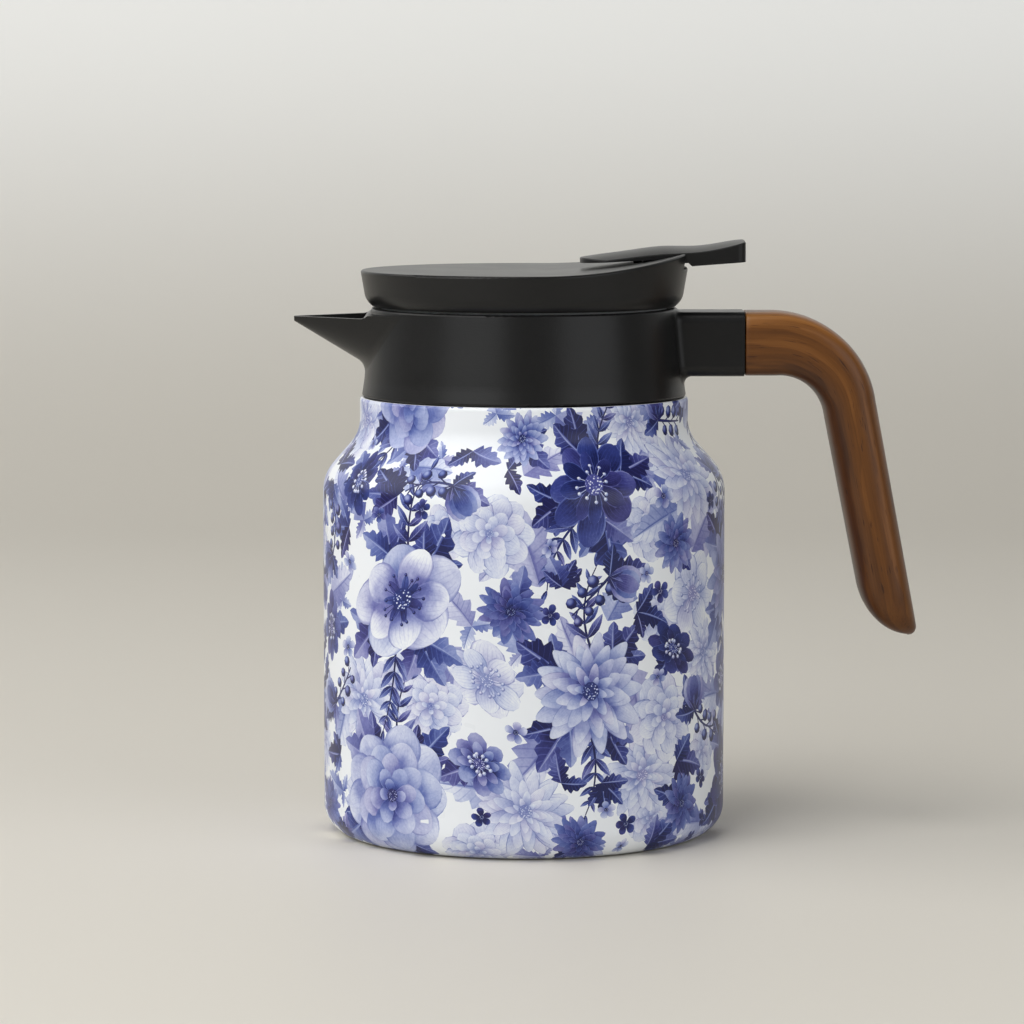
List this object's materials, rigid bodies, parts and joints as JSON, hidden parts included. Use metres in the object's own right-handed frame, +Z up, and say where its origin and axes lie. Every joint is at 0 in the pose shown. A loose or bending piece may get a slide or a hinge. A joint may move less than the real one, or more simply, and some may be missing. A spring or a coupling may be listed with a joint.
{
  "type": "thermal carafe",
  "caption": "Round vacuum-insulated jug with an open spout collar, a bent wooden side handle and a screw-in lid whose thumb lever lifts a spring-closed pour valve.",
  "frame": {"origin": "centre of the foot ring, on the table", "axes": "+Z up along the flask's axis, +X towards the handle, -X towards the spout"},
  "size_m": [0.177, 0.114, 0.1685],
  "materials": {
    "printed_steel": "glossy white enamel with a printed blue flower pattern",
    "bare_steel": "brushed stainless steel",
    "black_plastic": "fine matt moulded texture",
    "grip_wood": "oiled walnut, grain along the grip",
    "brass": "machined brass",
    "silicone": "grey silicone"
  },
  "bodies": {
    "jug": {"outer_shell": "printed_steel", "base_cap": "bare_steel", "seal_bead": "brass", "inner_flask": "bare_steel", "vacuum_getter": "bare_steel", "rim_gasket": "silicone", "spout_collar": "black_plastic", "mouth_ring": "black_plastic", "handle_grip": "grip_wood", "handle_insert": "brass", "handle_washer": "bare_steel", "handle_screw": "bare_steel"},
    "stopper_seal": {"plug_gasket": "silicone"},
    "lid": {"lid_cover": "black_plastic", "lid_plug": "black_plastic", "plug_base": "black_plastic", "rim_seal": "silicone", "lid_screws": "bare_steel", "stem_seal": "silicone", "lever_pin": "bare_steel", "valve_spring": "bare_steel"},
    "lever": {"thumb_lever": "black_plastic", "lift_fork": "black_plastic"},
    "valve": {"valve_stem": "black_plastic", "valve_seal": "silicone", "seal_retainer": "black_plastic", "stem_clip": "bare_steel"}
  },
  "joints": [
    {"name": "lid_rise", "type": "slide", "parent": "jug", "child": "stopper_seal", "axis": [0, 0, 1], "range_m": [0, 0.0401]},
    {"name": "lid_turn", "type": "hinge", "parent": "stopper_seal", "child": "lid", "pos_m": [0, 0, 0.1499], "axis": [0, 0, 1], "range_deg": [0, 720]},
    {"name": "lever_tilt", "type": "hinge", "parent": "lid", "child": "lever", "pos_m": [0.037, 0, 0.1575], "axis": [0, 1, 0], "range_deg": [0, 7], "stiffness_Nm_per_rad": 0.74, "springref_deg": -5.73},
    {"name": "valve_lift", "type": "slide", "parent": "lid", "child": "valve", "axis": [0, 0, 1], "range_m": [0, 0.0052], "deforming": ["valve_spring"]}
  ],
  "couplings": [
    {"joint": "lid_rise", "follows": "lid_turn", "m_per_rad": 0.0031831},
    {"joint": "valve_lift", "follows": "lever_tilt", "m_per_rad": 0.0416}
  ]
}
